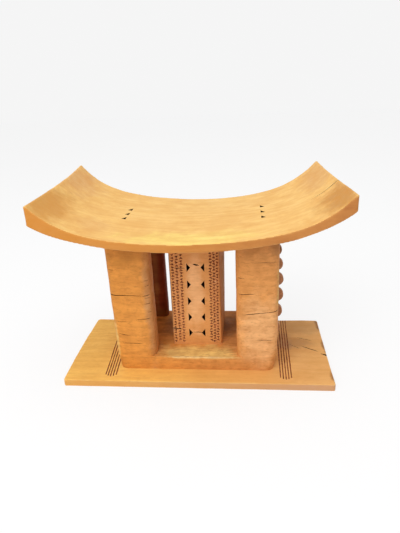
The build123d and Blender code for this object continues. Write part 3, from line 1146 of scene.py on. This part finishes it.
class StoolMakeColumn(bpy.types.Operator):
    """Carves the hollow centre column with its pierced triangles and chip-carved bands"""

    bl_idname = "stool.make_column"
    bl_label = "Centre Column"

    # X of the upright files of nicks in the chip-carved bands, at the foot.
    nick_files = (-0.0525, -0.0430, -0.0335, 0.0310, 0.0385, 0.0460)
    # Height of the lowest nicks above the plinth, and how far a nick's cutter stands out of the face.
    nick_rise = 0.009
    nick_proud = 0.0008
    # How far a nick strays from its place and, in radians, from its turn, and its squashed form.
    nick_stray = 0.0006
    nick_twist = 0.45
    nick_form = (0.92, 0.70, 1, 1)
    # Cracks in the front face, from (x, z) to (x, z), with their width.
    cracks = (
        ((-0.0506, 0.2433), (-0.0215, 0.2425), 0.0016),
        ((-0.0640, 0.0922), (-0.0360, 0.0890), 0.0024),
        ((-0.0130, 0.0818), (0.0130, 0.0811), 0.0018),
        ((-0.0055, 0.2520), (0.0095, 0.2488), 0.0040),
    )

    def execute(self, context):
        settings = context.scene.stool_column
        low, high = COLUMN_LOW, COLUMN_HIGH
        column = self.upright(settings, low, high)
        carve(column, cell=0.0020, smoothing=2, adze=0.0004, scuff=0.0002)
        cut_off(column, PLINTH_TOP)
        hollow = block("hollow", (low.x + settings.wall, low.y + settings.wall, PLINTH_TOP - SPARE),
                       (high.x - settings.wall, high.y - settings.wall, high.z + SPARE), "deep_cut_shade")
        cut(column, hollow)
        cut(column, self.pierced_triangles(settings, low.y, high.y))
        cut(column, self.nicks(settings, low.y), crossing=True)
        split_front(column, self.cracks, low, high, depth=0.006)
        dress(column, "centre_column")
        return {"FINISHED"}

    def upright(self, settings, low, high):
        """The column's block, with its corners drawn in or out and rounded."""
        column = block("centre_column_carved", (low.x, low.y, PLINTH_TOP - SPARE), high, "column_wood")
        tuck_under_seat(column)
        top_left, top_right, foot_right = settings.front_draw
        # What each upright corner moves along X at its foot and at its top.
        moves = {
            (low.x, low.y): (0, top_left),
            (low.x, high.y): (0, 0),
            (high.x, low.y): (-foot_right, -top_right),
            (high.x, high.y): (0, settings.flare),
        }
        with editing(column):
            for (x, y), (at_foot, at_top) in moves.items():
                for upper, shift in ((False, at_foot), (True, at_top)):
                    pick("VERT", lambda vertex: stands_at(vertex, x, y)
                         and (vertex.co.z > HALF_WAY_UP) == upper)
                    bpy.ops.transform.translate(value=(shift, 0, 0))
        round_upright(column, [(x + sum(shifts) / 2, y, settings.corner_round)
                               for (x, y), shifts in moves.items()], segments=4)
        return column

    def pierced_triangles(self, settings, front_y, rear_y):
        """The cutter for the pairs of triangles through the front and rear walls."""
        half = settings.triangle_height / 2
        holes = []
        for row in range(settings.triangle_rows):
            level = PLINTH_TOP + settings.triangle_rise + row * settings.triangle_pitch
            for side, place, lean in zip((-1, 1), settings.triangle_places, settings.triangle_leans):
                upright = place + row * lean
                point = upright - side * settings.triangle_width
                corners = ((upright, level - half), (upright, level + half), (point, level))
                holes.append(wedge("hole", corners, front_y - SPARE, rear_y + SPARE, Y_AXIS, "deep_cut_shade"))
        return join(holes, "pierced_triangles")

    def nicks(self, settings, front_y):
        """The cutter for the chip-carved bands: three-sided pyramids, point up and point down by turns."""
        draw = random.Random(41)
        stray, twist = self.nick_stray, self.nick_twist
        leave_all()
        bpy.ops.mesh.primitive_cone_add(
            vertices=3, radius1=settings.nick_size, radius2=0, depth=settings.nick_depth + self.nick_proud)
        first = bpy.context.object
        first.data.materials.append(bpy.data.materials["nick_wood"])
        nicks = []
        for file, file_x in enumerate(self.nick_files):
            for row in range(settings.nick_rows):
                nick = first.copy()
                nick.data = first.data.copy()
                bpy.context.scene.collection.objects.link(nick)
                rise = (row + file % 2 / 2) * settings.nick_pitch
                lean = settings.nick_lean * row / settings.nick_rows
                place = Vector((
                    file_x + lean + draw.uniform(-stray, stray),
                    front_y + (settings.nick_depth - self.nick_proud) / 2,
                    PLINTH_TOP + self.nick_rise + rise + draw.uniform(-stray, stray)))
                turn = (row + file) % 2 * math.pi + draw.uniform(-twist, twist)
                nick.data.transform(
                    Matrix.Translation(place) @ Matrix.Rotation(-math.pi / 2, 4, "X")
                    @ Matrix.Rotation(turn, 4, "Z") @ Matrix.Diagonal(self.nick_form))
                nicks.append(nick)
        bpy.data.objects.remove(first)
        return join(nicks, "nicks")


class StoolMakeSeat(bpy.types.Operator):
    """Carves the dished seat with its chip-cut triangles"""

    bl_idname = "stool.make_seat"
    bl_label = "Seat"

    # Rows of chip-cut triangles: the side they point to, X, Y of the middle one, and their pitch.
    chip_rows = ((-1, -0.151, 0.011, 0.032), (1, 0.147, 0.006, 0.039))
    # How far a triangle's cutter runs below the top of the seat and above it.
    chip_depth, chip_proud = 0.004, 0.01

    def execute(self, context):
        settings = context.scene.stool_seat
        seat = self.bent_slab(settings)
        self.round_ends(seat, settings)
        round_upright(seat, [(self.skewed(x, y), y, settings.corner_round)
                             for x, y in corners_of(SEAT_LOW, SEAT_HIGH)], segments=4)
        carve(seat, cell=0.0024, smoothing=2, adze=0.0010, scuff=0.0003)
        for cutter in (*self.chips(settings), self.end_split()):
            cut(seat, cutter)
        dress(seat, "seat")
        return {"FINISHED"}

    def round_ends(self, seat, settings):
        """Rounds the arrises under and on top of both ends.

        An end is upright, so it meets the top at less and the underside at more than 90 degrees.
        """
        ends = (SEAT_LOW.x, SEAT_HIGH.x)
        with editing(seat):
            for end, end_round, tip_round in zip(ends, settings.end_round, settings.tip_round):
                tilt = math.atan(abs(seat_slope(end, SEAT_HIGH.y)))
                for height, radius, angle in (
                        (seat_underside, end_round, math.pi / 2 + tilt),
                        (seat_top, tip_round, math.pi / 2 - tilt)):
                    pick("EDGE", lambda edge: self.on_end(edge, end, height))
                    bpy.ops.mesh.bevel(offset=radius / math.tan(angle / 2), segments=6, affect="EDGES")

    def end_split(self):
        """The cutter for the crack that runs in from the right end."""
        start_x, end_x, y, drift, sink = 0.305, 0.240, -0.025, 0.002, 0.001
        start = (start_x, y, seat_top(start_x, y) - sink)
        end = (end_x, y + drift, seat_top(end_x, y))
        return crack("end_split", start, end, width=0.0022, depth=0.012, into=Z_AXIS, seed=51,
                     open_start=True)

    def skewed(self, x, y):
        """X of a station once the right end is set askew and a little bulging."""
        settings = bpy.context.scene.stool_seat
        share = depth_share(y)
        drawn_in = settings.skew * share - settings.bulge * arch(share)
        return x - drawn_in * max(x / SEAT_HIGH.x, 0) ** 3

    def on_end(self, edge, end, height):
        """Whether an edge runs across an end of the seat at the height that a function gives."""
        spot = middle(edge)
        x = self.skewed(end, spot.y)
        return along(edge, Y_AXIS) and abs(spot.x - x) < NEAR and abs(spot.z - height(x, spot.y)) < NEAR

    def bent_slab(self, settings):
        """A flat slab divided both ways, with each station moved to the seat's curve."""
        stations, rows = 60, 6
        # The slab lies below this level until it is bent, and above it from then on.
        flat_level = 0.1
        length, depth = SEAT_HIGH.x - SEAT_LOW.x, SEAT_HIGH.y - SEAT_LOW.y
        seat = block("seat_carved", (*SEAT_LOW.xy, 0), (*SEAT_HIGH.xy, settings.thickness), "seat_wood")
        divide(seat, X_AXIS, stations)
        divide(seat, Y_AXIS, rows)
        with editing(seat):
            for row in range(rows + 1):
                y = SEAT_LOW.y + row * depth / rows
                for index in range(stations + 1):
                    flat_x = SEAT_LOW.x + index * length / stations
                    x = self.skewed(flat_x, y)
                    for upper in (False, True):
                        pick("VERT", lambda vertex: vertex.co.z < flat_level
                             and stands_at(vertex, flat_x, y)
                             and (vertex.co.z > settings.thickness / 2) == upper)
                        level = seat_top(x, y) - settings.thickness if upper else seat_underside(x, y)
                        bpy.ops.transform.translate(value=(x - flat_x, 0, level))
        return seat

    def chips(self, settings):
        """The cutters for the triangles in the top, three across each side."""
        wide, long = settings.chip_width / 2, settings.chip_length / 2
        chips = []
        for side, x, middle_y, pitch in self.chip_rows:
            for index in (-1, 0, 1):
                y = middle_y + index * pitch
                corners = ((x - wide, y - long), (x + wide, y - long), (x - side * wide, y + long))
                low, high = seat_top(x, y) - self.chip_depth, seat_top(x, y) + self.chip_proud
                chips.append(wedge("chip", corners, low, high, Z_AXIS, "deep_cut_shade"))
        return chips


# ---------------------------------------------------------------- the stage


class StoolMakeStage(bpy.types.Operator):
    """Sets up the floor, the lights and the camera"""

    bl_idname = "stool.make_stage"
    bl_label = "Stage"

    # The lamps: name, place and size. Both point at a spot above the middle of the floor.
    lamps = (("key_light", (-1.0, -2.1, 2.5), 2.2), ("fill_light", (0.3, -0.3, 2.8), 2.6))
    aim = (0, 0, 0.2)
    floor_size = 14
    sensor_height = 36
    # Share of plain white in the seen floor, and strength of the seen sky.
    floor_glow = 0.79
    seen_sky = 0.915

    def execute(self, context):
        stage = context.scene.stool_stage
        self.floor(stage)
        self.sky(context, stage)
        for lamp, power in zip(self.lamps, (stage.key_power, stage.fill_power)):
            self.light(*lamp, power)
        self.camera(context, stage)
        context.scene.view_settings.view_transform = "Standard"
        return {"FINISHED"}

    def seen_rays(self, tree):
        """1 for what the camera sees, directly, in a reflection or through glass."""
        rays = add(tree, "ShaderNodeLightPath")
        seen = sum_of(tree, "MAXIMUM", rays.outputs["Is Camera Ray"], rays.outputs["Is Glossy Ray"])
        return sum_of(tree, "MAXIMUM", seen, rays.outputs["Is Transmission Ray"])

    def floor(self, stage):
        """A plain floor, brightened where it is seen."""
        leave_all()
        bpy.ops.mesh.primitive_plane_add(size=self.floor_size, location=(0, 0, FLOOR_LEVEL))
        floor = bpy.context.object
        floor.name = "floor"
        material, tree, shader = new_material("pale_floor")
        shader.inputs["Base Color"].default_value = (*stage.floor_tone, 1)
        shader.inputs["Roughness"].default_value = 0.6
        glow = add(tree, "ShaderNodeEmission", Color=(1, 1, 1, 1))
        mix = add(tree, "ShaderNodeMixShader")
        share = sum_of(tree, "MULTIPLY", self.seen_rays(tree), self.floor_glow)
        for source, socket in zip((share, shader.outputs[0], glow.outputs[0]), mix.inputs):
            wire(tree, source, socket)
        wire(tree, mix.outputs[0], tree.nodes["Material Output"].inputs["Surface"])
        floor.data.materials.append(material)

    def sky(self, context, stage):
        """Even light from all round, and a backdrop of a strength of its own."""
        world = bpy.data.worlds.new("plain_sky")
        world.use_nodes = True
        tree = world.node_tree
        backdrop = tree.nodes["Background"]
        backdrop.inputs["Color"].default_value = (1, 1, 1, 1)
        strength = add(tree, "ShaderNodeMapRange", Value=self.seen_rays(tree),
                       To_Min=stage.sky_strength, To_Max=self.seen_sky)
        wire(tree, strength.outputs["Result"], backdrop.inputs["Strength"])
        context.scene.world = world

    def light(self, name, place, size, power):
        """A square lamp."""
        lamp = bpy.data.lights.new(name, "AREA")
        lamp.energy = power
        lamp.size = size
        obj = bpy.data.objects.new(name, lamp)
        bpy.context.scene.collection.objects.link(obj)
        obj.location = place
        obj.rotation_euler = (Vector(self.aim) - Vector(place)).to_track_quat("-Z", "Y").to_euler()

    def camera(self, context, stage):
        """The camera, turned by its yaw, then its pitch, then its roll."""
        yaw, pitch, roll = stage.camera_yaw, stage.camera_pitch, stage.camera_roll
        ahead = Vector((math.sin(yaw) * math.cos(pitch), math.cos(yaw) * math.cos(pitch), -math.sin(pitch)))
        level = Vector((math.cos(yaw), -math.sin(yaw), 0))
        up = level.cross(ahead)
        right = math.cos(roll) * level + math.sin(roll) * up
        top = -math.sin(roll) * level + math.cos(roll) * up
        data = bpy.data.cameras.new("camera")
        data.sensor_fit = "VERTICAL"
        data.sensor_height = self.sensor_height
        data.lens = stage.camera_lens
        data.clip_end = 50
        camera = bpy.data.objects.new("camera", data)
        context.scene.collection.objects.link(camera)
        turn = Matrix((right, top, -ahead)).transposed().to_4x4()
        camera.matrix_world = Matrix.Translation(stage.camera_place) @ turn
        context.scene.camera = camera


# ---------------------------------------------------------------- add-on


MEMBERS = (
    StoolMakeFinishes,
    StoolMakeBase,
    StoolMakePlinth,
    StoolMakeLegs,
    StoolMakePosts,
    StoolMakeColumn,
    StoolMakeSeat,
    StoolMakeStage,
)
SETTINGS = {
    "stool_seat": StoolSeatSettings,
    "stool_legs": StoolLegSettings,
    "stool_column": StoolColumnSettings,
    "stool_base": StoolBaseSettings,
    "stool_finish": StoolFinishSettings,
    "stool_stage": StoolStageSettings,
}


class StoolPanel(bpy.types.Panel):
    """Lists the stool's members and their settings"""

    bl_idname = "VIEW3D_PT_stool"
    bl_label = "Ashanti Stool"
    bl_space_type = "VIEW_3D"
    bl_region_type = "UI"
    bl_category = "Stool"

    def draw(self, context):
        for member in MEMBERS:
            self.layout.operator(member.bl_idname)
        for name, group in SETTINGS.items():
            box = self.layout.box()
            box.label(text=group.__doc__)
            for setting in group.__annotations__:
                box.prop(getattr(context.scene, name), setting)


def register():
    for group in SETTINGS.values():
        bpy.utils.register_class(group)
    for member in MEMBERS:
        bpy.utils.register_class(member)
    bpy.utils.register_class(StoolPanel)
    for name, group in SETTINGS.items():
        setattr(bpy.types.Scene, name, PointerProperty(type=group))


def unregister():
    for name in SETTINGS:
        delattr(bpy.types.Scene, name)
    bpy.utils.unregister_class(StoolPanel)
    for cls in (*reversed(MEMBERS), *SETTINGS.values()):
        bpy.utils.unregister_class(cls)


def main():
    register()
    for member in MEMBERS:
        group, name = member.bl_idname.split(".")
        getattr(getattr(bpy.ops, group), name)()


if __name__ == "__main__":
    main()
